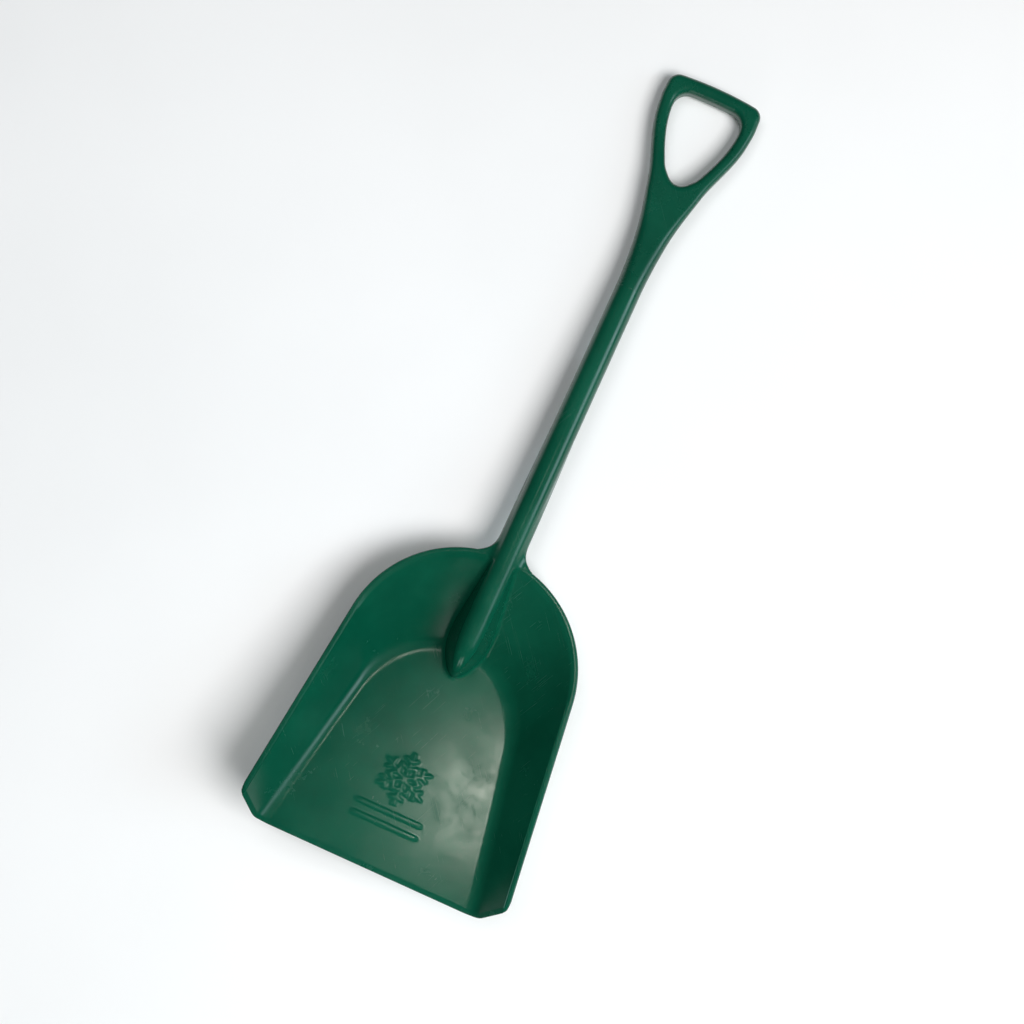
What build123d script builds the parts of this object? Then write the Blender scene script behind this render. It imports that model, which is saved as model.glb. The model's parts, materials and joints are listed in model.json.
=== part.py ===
"""Plastic snow scoop, moulded in green polypropylene: a deep scoop pan, a hollow round shaft whose lower end
runs down into the pan as a hooded nose, and a D-grip with a flared neck.

Four frames, all in millimetres with X across the shovel:
  pan frame    Y from the front lip towards the handle, Z = 0 on the inner face of the flat floor
  shaft frame  Y along the shaft's axis from the collar towards the grip, Z square to the shaft, upwards
  grip frame   the shaft frame, moved along to the joint between the shaft and the grip
  row frame    +Z up, as the shovel lies on the ground on its heel and its grip, origin under its middle
"""

from build123d import *
from math import acos, atan2, cos, hypot, radians, sin, tan
import os

# ---- driving dimensions -------------------------------------------------------------------------------------
# scoop pan
FLOOR_ARC_Y, FLOOR_ARC_R, FLOOR_FLARE = 190.0, 106.5, 10.5   # rear arc of the flat floor, and its sides' flare
RIM_ARC_Y, RIM_ARC_R, RIM_FLARE = 262.4, 150.3, 6.4          # the same for the rim's outer edge, in its plane
RIM_FRONT_Z, RIM_SLOPE = 36.0, 6.9                           # the rim is a plane that rises to the rear
RIM_WIDTH, RIM_DEPTH, RIM_ROUND = 6.8, 6.0, 2.0              # the rim's bead
PAN_WALL = 3.9
WALL_OVERLAP = 4.6          # how far the outer wall stands outside the inner one, along the rim's plane
FLOOR_OVERLAP = 1.4         # the same along the underside of the floor
FLOOR_FILLET = 30.0
CORNER_X, CLIP_RISE, CORNER_ROUND = 150.0, 0.76, 12.0        # the clipped front corners
SIDE_CLEAR = 200.0                                           # further out than any part of the pan
LIP_BEVEL, LIP_DROP = 5.5, 2.4
FRONT_STOCK = 60.0          # the lofts run this far past the lip before they are trimmed

# shaft
SHAFT_R, BORE_R = 16.75, 11.75
COLLAR_Y, COLLAR_Z = 405.0, 81.0                             # where the axis crosses the rim, pan frame
WEB_ARC_R, WEB_STEP = 34.0, 0.6                              # the webs between the rim and the shaft
SHAFT_LENGTH = 375.2                                         # from the collar to the joint with the grip
TUBE_START = -34.0                                           # the tube is closed underneath from here on
HOOD_DRAFT, HOOD_WALL, HOOD_SINK = 15.6, 4.6, 9.0
NOSE_TIP, NOSE_LENGTH = -159.0, 78.0                         # station of the nose's tip, and its length
NOSE_POWER = 1.8                                             # how full the nose is in plan
CREST_SHARE, CREST_POWER = 0.62, 2.2                         # the crest reaches its height early
NOSE_SHARES = (0.04, 0.14, 0.3, 0.5, 0.72, 1.0)              # where the nose's sections stand

# grip
GRIP_LENGTH, GRIP_DEPTH, GRIP_ROUND = 281.0, 26.0, 8.0
NECK = ((0.0, 33.5, 33.5, 16.6), (28.0, 35.2, 32.0, 15.4), (53.0, 39.0, 30.2, 14.0),
        (79.0, 44.8, 28.4, 12.5), (104.0, 54.0, 27.0, 10.6), (129.0, 65.6, 26.0, 8.4))
GRIP_SIDE = ((32.8, 129.0), (38.9, 153.0), (47.8, 178.0), (55.6, 200.0), (61.2, 222.0), (64.0, 250.0))
GRIP_SHOULDER, GRIP_CORNER_R = (63.4, 276.8), 15.0
HOLE_BOTTOM, HOLE_TOP = 146.3, 261.4
HOLE_SIDE = ((18.6, 158.3), (28.1, 175.3), (36.4, 195.8), (42.3, 215.8), (45.3, 238.8))
HOLE_SHOULDER, HOLE_CORNER_R = (45.1, 259.8), 19.0
TANG_LENGTH, TANG_CLEARANCE, NECK_BORE_R, NECK_BORE = 55.0, 0.05, 7.0, 95.0
PLUG_Y, PLUG_R, PLUG_HEAD_R, PLUG_HEAD, PLUG_LENGTH = 80.0, 3.0, 5.5, 1.6, 8.0

# generic moulded mark on the floor: a six-armed snowflake over two plain bars
MARK_X, MARK_Y, MARK_ARM, MARK_LINE, MARK_RISE = -2.0, 118.0, 33.0, 4.4, 0.9
BARBS = ((12.0, 11.0), (22.0, 8.0))                          # distance along the arm, length
BARS_Y, BARS_LENGTH, BAR_WIDE = (73.0, 57.0), 88.0, 6.0

# how it lies
PAN_TILT, SHAFT_RISE = 16.0, 12.75


# ---- frames -------------------------------------------------------------------------------------------------
RIM_PLANE = Plane(origin=(0, 0, RIM_FRONT_Z), x_dir=(1, 0, 0),
                  z_dir=(0, -sin(radians(RIM_SLOPE)), cos(radians(RIM_SLOPE))))
SHAFT_IN_PAN = Location((0, COLLAR_Y, COLLAR_Z), (SHAFT_RISE, 0, 0))
GRIP_IN_PAN = SHAFT_IN_PAN * Location((0, SHAFT_LENGTH, 0))
PAN_IN_ROW = Location((0, 0, 0), (-PAN_TILT, 0, 0))


# ---- scoop pan, in the pan frame ----------------------------------------------------------------------------
def pan_outline(plane, arc_y, arc_r, flare):
    """A face with straight flared sides and a rounded rear, which runs past the lip by FRONT_STOCK."""
    a = radians(flare)
    side_x, side_y = arc_r * cos(a), arc_y + arc_r * sin(a)
    front_x = side_x + (side_y + FRONT_STOCK) * tan(a)
    with BuildSketch(plane) as sketch:
        with BuildLine():
            Line((-front_x, -FRONT_STOCK), (front_x, -FRONT_STOCK))
            Line((front_x, -FRONT_STOCK), (side_x, side_y))
            ThreePointArc((side_x, side_y), (0, arc_y + arc_r), (-side_x, side_y))
            Line((-side_x, side_y), (-front_x, -FRONT_STOCK))
        make_face()
    return sketch.sketch


def pan_body(floor_z, floor_grow, rim_grow, fillet_r):
    """The loft between a floor outline and a rim outline, with its lower edge rounded."""
    floor = pan_outline(Plane.XY.offset(floor_z), FLOOR_ARC_Y, FLOOR_ARC_R + floor_grow, FLOOR_FLARE)
    rim = pan_outline(RIM_PLANE, RIM_ARC_Y, RIM_ARC_R - RIM_WIDTH + rim_grow, RIM_FLARE)
    body = loft([floor, rim], ruled=True)
    lower = [e for e in body.edges() if abs(e.center().Z - floor_z) < 0.5 and e.center().Y > -FRONT_STOCK + 1]
    return fillet(lower, fillet_r)


def scoop_cavity():
    """The space inside the pan, down to its inner faces."""
    return pan_body(0, 0, 0, FLOOR_FILLET)


def rim_bead():
    """The bead round the rim, which widens into two webs that run tangent into the shaft's sides."""
    a = radians(RIM_FLARE)
    side_x, side_y = RIM_ARC_R * cos(a), RIM_ARC_Y + RIM_ARC_R * sin(a)
    front_x = side_x + (side_y + FRONT_STOCK) * tan(a)
    edge_x = SHAFT_R + WEB_STEP
    web_x = edge_x + WEB_ARC_R
    web_y = RIM_ARC_Y + ((RIM_ARC_R + WEB_ARC_R) ** 2 - web_x ** 2) ** 0.5
    turn = atan2(web_y - RIM_ARC_Y, web_x)
    meet = (RIM_ARC_R * cos(turn), RIM_ARC_Y + RIM_ARC_R * sin(turn))
    half = radians(180) + turn / 2
    on_web = (web_x + WEB_ARC_R * cos(half), web_y + WEB_ARC_R * sin(half))
    on_rear = (RIM_ARC_R * cos((turn + a) / 2), RIM_ARC_Y + RIM_ARC_R * sin((turn + a) / 2))
    with BuildSketch(RIM_PLANE) as sketch:
        with BuildLine():
            Line((0, -FRONT_STOCK), (front_x, -FRONT_STOCK))
            Line((front_x, -FRONT_STOCK), (side_x, side_y))
            ThreePointArc((side_x, side_y), on_rear, meet)
            ThreePointArc(meet, on_web, (edge_x, web_y))
            Line((edge_x, web_y), (0, web_y))
            Line((0, web_y), (0, -FRONT_STOCK))
        make_face()
        mirror(about=Plane.YZ)
    outer = extrude(sketch.sketch, -RIM_DEPTH)
    crown = [e for e in outer.edges() if abs(RIM_PLANE.to_local_coords(e.center()).Z) < 0.01
             and abs(RIM_PLANE.to_local_coords(e.center()).Y - web_y) > 1
             and e.center().Y > -FRONT_STOCK + 1]
    outer = fillet(crown, RIM_ROUND)
    return outer - scoop_cavity()


def front_trim():
    """The block that keeps the pan behind its lip and its two clipped corners."""
    side_y = (SIDE_CLEAR - CORNER_X) * CLIP_RISE
    with BuildSketch() as sketch:
        with BuildLine():
            Polyline((-CORNER_X, 0), (CORNER_X, 0), (SIDE_CLEAR, side_y), (SIDE_CLEAR, 500),
                     (-SIDE_CLEAR, 500), (-SIDE_CLEAR, side_y), close=True)
        make_face()
        front = [v for v in sketch.vertices() if abs(v.Y) < 0.01]
        fillet(front, CORNER_ROUND)
    return extrude(sketch.sketch, 120, both=True)


def mark():
    """The raised mark: six arms with two pairs of barbs each, over two bars."""
    with BuildSketch(Plane.XY.offset(-1)) as sketch:
        with Locations((MARK_X, MARK_Y)):
            with PolarLocations(0, 6, start_angle=30):
                with Locations((MARK_ARM / 2, 0)):
                    SlotOverall(MARK_ARM, MARK_LINE)
                for along, length in BARBS:
                    for side in (-60, 60):
                        with Locations(Location((along, 0), side)):
                            with Locations((length / 2, 0)):
                                SlotOverall(length, MARK_LINE * 0.8)
        with Locations([(MARK_X, y) for y in BARS_Y]):
            SlotOverall(BARS_LENGTH, BAR_WIDE)
    return extrude(sketch.sketch, 1 + MARK_RISE)


# ---- hood and shaft, in the shaft frame ---------------------------------------------------------------------
def floor_depth(station):
    """How far the pan's flat floor lies under the shaft's axis, square to it."""
    rise = radians(SHAFT_RISE)
    return (COLLAR_Z + station * sin(rise)) / cos(rise)


def arch(station, radius, base_x, base_depth, crest):
    """A tombstone section: a round top, and flanks that run on past the floor by HOOD_SINK."""
    centre = crest - radius
    fall = centre + base_depth
    turn = atan2(-fall, base_x) + acos(radius / hypot(fall, base_x))
    side = (radius * cos(turn), centre + radius * sin(turn))
    slope = (base_x - side[0]) / (side[1] + base_depth)
    foot = (base_x + HOOD_SINK * slope, -base_depth - HOOD_SINK)
    with BuildSketch(Plane(origin=(0, station, 0), x_dir=(1, 0, 0), z_dir=(0, -1, 0))) as sketch:
        with BuildLine():
            Line((-foot[0], foot[1]), foot)
            Line(foot, side)
            ThreePointArc(side, (0, crest), (-side[0], side[1]))
            Line((-side[0], side[1]), (-foot[0], foot[1]))
        make_face()
    return sketch.sketch


def hood(grow, end):
    """The hood from its nose to a station near the collar, grown by a wall's thickness or shrunk by it."""
    draft = radians(HOOD_DRAFT)
    radius = SHAFT_R + grow
    tip = NOSE_TIP - 1.6 * grow
    sections = []
    for share in NOSE_SHARES:
        station = tip + share * NOSE_LENGTH
        depth = floor_depth(station)
        full = radius / cos(draft) + depth * tan(draft)
        base_x = full * (1 - (1 - share) ** NOSE_POWER) ** (1 / NOSE_POWER)
        lift = (1 - max(0, 1 - share / CREST_SHARE) ** CREST_POWER) ** (1 / CREST_POWER)
        crest = (depth + radius) * lift - depth
        top = radius * min(1, base_x / full) * lift
        sections.append(arch(station, top, base_x, depth, crest))
    nose = loft(sections)
    start = tip + NOSE_LENGTH
    ridge = extrude(sections[-1], start - end)
    return nose + ridge


def shaft_rod(radius, start, end):
    """A round rod along the shaft's axis."""
    rod = Cylinder(radius, end - start, align=(Align.CENTER, Align.CENTER, Align.MIN))
    return Location((0, start, 0), (-90, 0, 0)) * rod


# ---- the parts, in the pan frame ----------------------------------------------------------------------------
def make_scoop_pan():
    """Floor, walls, rim, webs and lip, open behind the hood and notched round for the shaft."""
    wall = pan_body(-PAN_WALL, FLOOR_OVERLAP, WALL_OVERLAP, FLOOR_FILLET + PAN_WALL) - scoop_cavity()
    pan = (wall + rim_bead()) & front_trim()
    pan -= SHAFT_IN_PAN * shaft_rod(SHAFT_R, TUBE_START, SHAFT_LENGTH)
    pan -= SHAFT_IN_PAN * hood(-HOOD_WALL, TUBE_START + 1)
    pan = bevel_lip(pan)
    return pan + mark()


def bevel_lip(pan):
    """The long bevel on top of the front lip."""
    with BuildSketch(Plane.YZ) as sketch:
        with BuildLine():
            Polyline((-1, 1), (LIP_BEVEL, 1), (LIP_BEVEL, 0), (0, -LIP_DROP), (-1, -LIP_DROP), close=True)
        make_face()
    return pan - extrude(sketch.sketch, CORNER_X - FLOOR_FILLET / 2, both=True)


def make_shaft():
    """The tube and its hood, which stands on the pan's inner faces."""
    above_rim = Location(RIM_PLANE) * Box(600, 1200, 80, align=(Align.CENTER, Align.CENTER, Align.MIN))
    room = scoop_cavity() + above_rim
    shaft = SHAFT_IN_PAN * hood(0, 0) & room
    shaft += SHAFT_IN_PAN * shaft_rod(SHAFT_R, TUBE_START, SHAFT_LENGTH)
    shaft -= SHAFT_IN_PAN * hood(-HOOD_WALL, TUBE_START)
    return shaft - SHAFT_IN_PAN * shaft_rod(BORE_R, TUBE_START - 1, SHAFT_LENGTH)


def flipped(points):
    """The same points on the left-hand side, in the opposite order."""
    return [(-x, y) for x, y in reversed(points)]


def round_shoulders(sketch, shoulder, radius):
    """Rounds the two corners of a sketch that lie at a shoulder."""
    corners = [v for v in sketch.vertices() if hypot(abs(v.X) - shoulder[0], v.Y - shoulder[1]) < 0.01]
    return fillet(corners, radius)


def grip_outline():
    """The D of the grip: bowed top, rounded shoulders, sides that sweep in to the neck, and the hand hole."""
    left_shoulder, left_hole_shoulder = flipped([GRIP_SHOULDER])[0], flipped([HOLE_SHOULDER])[0]
    with BuildSketch() as outer:
        with BuildLine():
            Line(flipped(GRIP_SIDE)[-1], GRIP_SIDE[0])
            Spline(*GRIP_SIDE, tangents=[(0.26, 1), (0, 1)])
            Line(GRIP_SIDE[-1], GRIP_SHOULDER)
            ThreePointArc(GRIP_SHOULDER, (0, GRIP_LENGTH), left_shoulder)
            Line(left_shoulder, flipped(GRIP_SIDE)[0])
            Spline(*flipped(GRIP_SIDE), tangents=[(0, -1), (0.26, -1)])
        make_face()
        round_shoulders(outer, GRIP_SHOULDER, GRIP_CORNER_R)
    with BuildSketch() as hole:
        with BuildLine():
            Spline(*flipped(HOLE_SIDE), (0, HOLE_BOTTOM), *HOLE_SIDE, tangents=[(0, -1), (0, 1)])
            Line(HOLE_SIDE[-1], HOLE_SHOULDER)
            ThreePointArc(HOLE_SHOULDER, (0, HOLE_TOP), left_hole_shoulder)
            Line(left_hole_shoulder, flipped(HOLE_SIDE)[0])
        make_face()
        round_shoulders(hole, HOLE_SHOULDER, HOLE_CORNER_R)
    return outer.sketch - hole.sketch


def neck():
    """The loft from the shaft's round end to the flat grip."""
    sections = []
    for station, width, depth, corner in NECK:
        with BuildSketch(Plane(origin=(0, station, 0), x_dir=(1, 0, 0), z_dir=(0, -1, 0))) as sketch:
            RectangleRounded(width, depth, corner)
        sections.append(sketch.sketch)
    return loft(sections)


def plug_shape(clearance):
    """The plug's stem and its flat head, square to the back of the neck, or the hole that they sit in."""
    back = -NECK[3][2] / 2
    stem = Cylinder(PLUG_R + clearance, PLUG_LENGTH + clearance,
                    align=(Align.CENTER, Align.CENTER, Align.MIN))
    head = Cylinder(PLUG_HEAD_R + clearance, PLUG_HEAD, align=(Align.CENTER, Align.CENTER, Align.MIN))
    return Location((0, PLUG_Y, back)) * (stem + head)


def make_d_grip():
    """The D-grip, its neck, and the tang that fills the end of the shaft's bore."""
    plate = extrude(grip_outline(), GRIP_DEPTH / 2, both=True)
    joint_y = GRIP_SIDE[0][1]
    flat = [e for e in plate.edges() if abs(abs(e.center().Z) - GRIP_DEPTH / 2) < 0.01
            and abs(e.center().Y - joint_y) > 1]
    plate = fillet(flat, GRIP_ROUND)
    grip = plate + neck() + shaft_rod(BORE_R - TANG_CLEARANCE, -TANG_LENGTH, 1)
    grip -= shaft_rod(NECK_BORE_R, -TANG_LENGTH - 1, NECK_BORE)
    return grip - plug_shape(TANG_CLEARANCE)


# ---- assembly -----------------------------------------------------------------------------------------------
def main():
    in_pan = {
        "scoop_pan": make_scoop_pan(),
        "shaft": make_shaft(),
        "d_grip": GRIP_IN_PAN * make_d_grip(),
        "gas_port_plug": GRIP_IN_PAN * plug_shape(0),
    }
    tilted = {name: PAN_IN_ROW * shape for name, shape in in_pan.items()}
    box = Compound(children=[shape for part in tilted.values() for shape in part.solids()]).bounding_box()
    to_row = Location((0, -box.center().Y, -box.min.Z))
    os.makedirs("parts", exist_ok=True)
    for name, part in tilted.items():
        placed = Compound([to_row * solid for solid in part.solids()])
        export_step(placed, f"parts/{name}.step")
        print(name, placed.bounding_box())
    print("pan frame to row frame:", to_row.position)


main()
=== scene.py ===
"""The looks of a moulded plastic snow scoop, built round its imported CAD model.

The pan is one grid of profiles that follows the pan's outline, with the space under the hood cut out of it.
The shaft with its hooded nose, and the D-grip with its neck, are iso-surfaces of distance formulas, so that
every moulded fillet is a real one. Shapes are worked out in millimetres, in the CAD model's three frames:
pan, shaft and grip.
"""

import json
from math import atan2, cos, pi, radians, sin, tan

import bmesh
import bpy
import numpy as np
from mathutils import Matrix, Vector
from mathutils.bvhtree import BVHTree

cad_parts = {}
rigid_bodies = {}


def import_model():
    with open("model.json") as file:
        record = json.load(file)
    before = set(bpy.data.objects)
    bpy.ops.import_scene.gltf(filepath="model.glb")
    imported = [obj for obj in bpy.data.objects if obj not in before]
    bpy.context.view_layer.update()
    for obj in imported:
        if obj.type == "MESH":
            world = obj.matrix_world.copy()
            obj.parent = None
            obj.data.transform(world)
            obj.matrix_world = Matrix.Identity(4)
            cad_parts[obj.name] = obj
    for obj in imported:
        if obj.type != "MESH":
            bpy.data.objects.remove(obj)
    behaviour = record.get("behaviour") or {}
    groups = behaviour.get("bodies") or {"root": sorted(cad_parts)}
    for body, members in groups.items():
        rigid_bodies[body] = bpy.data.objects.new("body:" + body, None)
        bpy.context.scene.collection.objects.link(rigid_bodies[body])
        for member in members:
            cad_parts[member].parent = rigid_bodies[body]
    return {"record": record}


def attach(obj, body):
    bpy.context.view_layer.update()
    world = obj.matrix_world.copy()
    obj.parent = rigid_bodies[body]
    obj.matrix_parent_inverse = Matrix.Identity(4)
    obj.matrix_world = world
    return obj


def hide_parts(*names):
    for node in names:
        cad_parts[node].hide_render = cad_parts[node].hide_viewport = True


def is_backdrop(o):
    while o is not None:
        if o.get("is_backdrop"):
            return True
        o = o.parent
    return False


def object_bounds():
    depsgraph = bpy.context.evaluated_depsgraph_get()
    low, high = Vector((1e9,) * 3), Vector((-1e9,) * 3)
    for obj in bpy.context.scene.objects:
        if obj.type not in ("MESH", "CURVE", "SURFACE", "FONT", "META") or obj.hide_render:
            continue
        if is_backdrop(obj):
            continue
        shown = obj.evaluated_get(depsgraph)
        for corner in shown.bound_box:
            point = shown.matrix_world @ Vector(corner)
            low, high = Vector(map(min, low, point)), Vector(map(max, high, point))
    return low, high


for unused in list(bpy.data.objects):
    bpy.data.objects.remove(unused)
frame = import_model()
cad_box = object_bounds()

MM = 0.001

# ---- the object's sizes, in millimetres and degrees, mostly as in the CAD model -------------------------
FLOOR_ARC_Y, FLOOR_ARC_R, FLOOR_FLARE = 190.0, 106.5, 10.5
RIM_ARC_Y, RIM_ARC_R, RIM_FLARE = 262.4, 150.3, 6.4
RIM_FRONT_Z, RIM_SLOPE = 36.0, 6.9
RIM_WIDTH, RIM_DEPTH = 6.8, 6.0
PAN_WALL = 3.9
FRONT_STOCK = 60.0
CORNER_X, CLIP_RISE, CORNER_ROUND = 150.0, 0.76, 12.0
OUTER_CORNER_X, OUTER_CORNER_R = 173.2, 9.0
LIP_BEVEL, LIP_DROP = 5.5, 2.4
# least share of the side between the lip's edge and its bevel, so that the rows never cross at the corners
LEAST_BEVEL = 0.004
FLOOR_FILLET, SHOULDER_EXTRA, FRONT_LESS = 30.0, 16.0, 10.0

SHAFT_R, BORE_R = 16.75, 11.75
COLLAR_Z, SHAFT_RISE = 81.0, 12.75
SHAFT_LENGTH = 375.2
TUBE_START = -34.0
WEB_ARC_R, WEB_FILLET = 27.0, 9.0
HOOD_DRAFT, HOOD_WALL = 15.6, 4.6
NOSE_TIP, NOSE_LENGTH, NOSE_POWER = -159.0, 78.0, 1.8
CREST_SHARE, CREST_POWER = 0.62, 2.2
FOOT_FILLET = 5.0
FOOT_SINK = 0.22             # how far the hood goes into the pan, as a share of its wall
PAN_SKIN = 0.03              # how far the shaft lies under the pan's face round its foot
BORE_SEEN = 60.0             # how far up the bore is made

GRIP_LENGTH = 281.0
GRIP_SKIN = 0.04             # how far the grip is drawn inside its formula
# distance from the shaft's end, half-width, depth and corner radius of the neck and grip
GRIP_SECTIONS = ((0.0, 16.75, 33.5, 16.7), (28.0, 17.6, 32.0, 15.4), (53.0, 19.5, 30.2, 14.0),
                 (79.0, 22.4, 28.4, 12.5), (104.0, 27.0, 27.0, 10.6), (129.0, 32.8, 26.0, 8.4),
                 (153.0, 38.9, 26.0, 8.4), (178.0, 47.8, 26.0, 8.4), (200.0, 55.6, 26.0, 8.4),
                 (222.0, 61.2, 26.0, 8.4), (250.0, 64.0, 26.0, 8.4))
GRIP_SHOULDER, GRIP_CORNER_R = (63.4, 276.8), 15.0
HOLE_SIDE = ((0.0, 146.3), (18.6, 158.3), (28.1, 175.3), (36.4, 195.8), (42.3, 215.8), (45.3, 238.8))
HOLE_SHOULDER, HOLE_CORNER_R, HOLE_TOP = (45.1, 259.8), 19.0, 261.4

PLUG_Y = 80.0
CUT_GROWTH = 2.0             # how far the pan's opening reaches into the shaft's wall
# the opening's rings are centred this far over the pan's face, and end this far under it
CUTTER_LEAST, CUTTER_FLOOR = 2.0, 12.0
CUTTER_RINGS, CUTTER_SIDES = 56, 72
# spacing of the points that the shaft and grip are worked out from
FINE = 1.3

UNDERSIDE_Y = 140.0          # where the record's floor mount lies on the pan's underside
HAND_HOLE_Y = 225.0          # where its hand hole mount lies, in the grip frame

# ---- moulded mark: a six-armed snowflake over two plain bars -------------------------------------
MARK_X, MARK_Y, MARK_ARM, MARK_LINE, MARK_RISE = -2.0, 118.0, 33.0, 4.4, 0.9
BARBS = ((12.0, 11.0), (22.0, 8.0))
BARS_Y, BARS_LENGTH, BAR_WIDE = (73.0, 57.0), 88.0, 6.0

# ---- finish, camera and lights, in metres --------------------------------------------------------
GREEN = (0.0005, 0.067, 0.036)
PLUG_GREEN = (0.0005, 0.057, 0.031)
CAMERA_AT, CAMERA_TURN, CAMERA_LENS = (-0.0175, -0.0612, 2.094), 24.45, 57.68
FLOOR_Z = -0.0004
WORLD_STRENGTH = 0.035
# name, place, point faced, size, power, colour, whether it shows as a highlight, spread in degrees
LAMPS = (("key", (2.6, -0.45, 4.3), (0, 0, 0), (2.8, 2.8), 245.0, (1.0, 1.0, 1.0), False, 180),
         ("fill", (-1.6, 1.0, 4.2), (0, 0, 0), (2.4, 2.4), 55.0, (0.97, 0.99, 1.0), False, 180),
         ("strip", (0.02, -0.6, 2.7), (0.02, -0.6, 0), (0.05, 4.0), 0.5, (0.85, 0.95, 1.0), True, 180),
         ("window", (1.8, 0.2, 1.15), (-0.15, -0.42, 0), (1.9, 1.1), 1.7, (0.72, 0.9, 1.0), True, 40),
         ("lamp", (0.165, 0.16, 1.40), (0.09, -0.44, 0), (0.11, 0.22), 0.058, (1.0, 0.97, 0.86), True, 34),
         ("panel", (0.95, 0.3, 2.0), (0, -0.4, 0), (2.3, 1.0), 0.7, (0.97, 1.0, 0.92), True, 180),
         ("doorway", (0.0, -2.3, 0.75), (0, -0.25, 0.05), (0.12, 1.3), 4.0, (0.9, 0.97, 1.0), True, 180),
         ("doorway_right", (0.75, -2.2, 0.8), (0, -0.25, 0.05), (0.24, 1.3), 4.6, (0.92, 1.0, 0.92),
          True, 180))


# ---- frames --------------------------------------------------------------------------------------
def mount(name):
    """The place and axis of one of the record's mounts."""
    found = [m for m in frame["record"]["mounts"] if m["name"] == name][0]
    return Vector(found["pos_m"]), Vector(found["axis"])


def frame_from(point, up, back, below):
    """The matrix, from millimetres, of a frame whose Z axis is up: point lies back along Y and below in Z."""
    side = Vector((1, 0, 0))
    along = up.cross(side)
    turn = Matrix((side, along, up)).transposed().to_4x4()
    origin = point - along * back * MM - up * below * MM
    return Matrix.Translation(origin) @ turn @ Matrix.Scale(MM, 4)


def frames():
    """The pan's, the shaft's and the grip's frames."""
    floor_at, floor_axis = mount("floor_underside")
    hole_at, hole_axis = mount("hand_hole")
    pan = frame_from(floor_at, -floor_axis, UNDERSIDE_Y, -PAN_WALL)
    grip = frame_from(hole_at, hole_axis, HAND_HOLE_Y, 0)
    shaft = grip @ Matrix.Translation((0, -SHAFT_LENGTH, 0))
    return pan, shaft, grip


PAN, SHAFT, GRIP = frames()
PAN_TO_SHAFT = SHAFT.inverted() @ PAN


def moved(points, matrix):
    """An array of points taken through a matrix."""
    m = np.array(matrix)
    return points @ m[:3, :3].T + m[:3, 3]


# ---- mesh helpers --------------------------------------------------------------------------------
def new_object(name, points, faces, matrix, sharp=40):
    """A smooth-shaded object in the row frame, from points in millimetres of another frame."""
    mesh = bpy.data.meshes.new(name)
    mesh.from_pydata(moved(points, matrix).tolist(), [], faces)
    bm = bmesh.new()
    bm.from_mesh(mesh)
    bmesh.ops.remove_doubles(bm, verts=bm.verts, dist=2e-6)
    bmesh.ops.recalc_face_normals(bm, faces=bm.faces)
    bm.to_mesh(mesh)
    bm.free()
    mesh.polygons.foreach_set("use_smooth", [True] * len(mesh.polygons))
    mesh.set_sharp_from_angle(angle=radians(sharp))
    piece = bpy.data.objects.new(name, mesh)
    bpy.context.scene.collection.objects.link(piece)
    return piece


# ---- scoop pan, in the pan frame -----------------------------------------------------------------
def outline(t, arc_y, arc_r, flare):
    """Point and outward normal on an outline's right half: t is 0 to 1 up the side, 1 to 2 round the rear."""
    a = radians(flare)
    side_x, side_y = arc_r * cos(a), arc_y + arc_r * sin(a)
    front_x = side_x + (side_y + FRONT_STOCK) * tan(a)
    up = np.clip(t, 0, 1)
    turn = a + (pi / 2 - a) * np.clip(t - 1, 0, 1)
    x = np.where(t < 1, front_x + (side_x - front_x) * up, arc_r * np.cos(turn))
    y = np.where(t < 1, -FRONT_STOCK + (side_y + FRONT_STOCK) * up, arc_y + arc_r * np.sin(turn))
    return x, y, np.cos(turn), np.sin(turn)


def fillet_radius(t):
    """The floor's fillet is wider round the two rear shoulders, and tighter towards the open front."""
    shoulder = np.exp(-((t - 1.25) / 0.38) ** 2)
    return FLOOR_FILLET + SHOULDER_EXTRA * shoulder - FRONT_LESS * np.maximum(0, 1 - t / 0.8) ** 2


FLOOR_COLUMNS, FILLET_COLUMNS, WALL_COLUMNS = 42, 12, 14
BEAD_PROFILE = ((0.35, -0.75), (0.9, -0.2), (1.7, 0.0), (3.2, 0.0), (4.8, 0.0), (5.7, -0.25), (6.4, -0.9),
                (6.8, -2.0), (6.8, -3.6), (6.8, -4.8), (6.5, -5.6), (5.8, -6.0))


def profile_columns():
    """The profile's columns: which stretch each is on, and how far along it, from 0 to 1."""
    floor = [(0, k / FLOOR_COLUMNS) for k in range(FLOOR_COLUMNS)]
    curve = [(1, k / FILLET_COLUMNS) for k in range(FILLET_COLUMNS)]
    wall = [(2, k / WALL_COLUMNS) for k in range(WALL_COLUMNS)]
    return np.array(floor + curve + wall + [(2, 0.985)])


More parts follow.
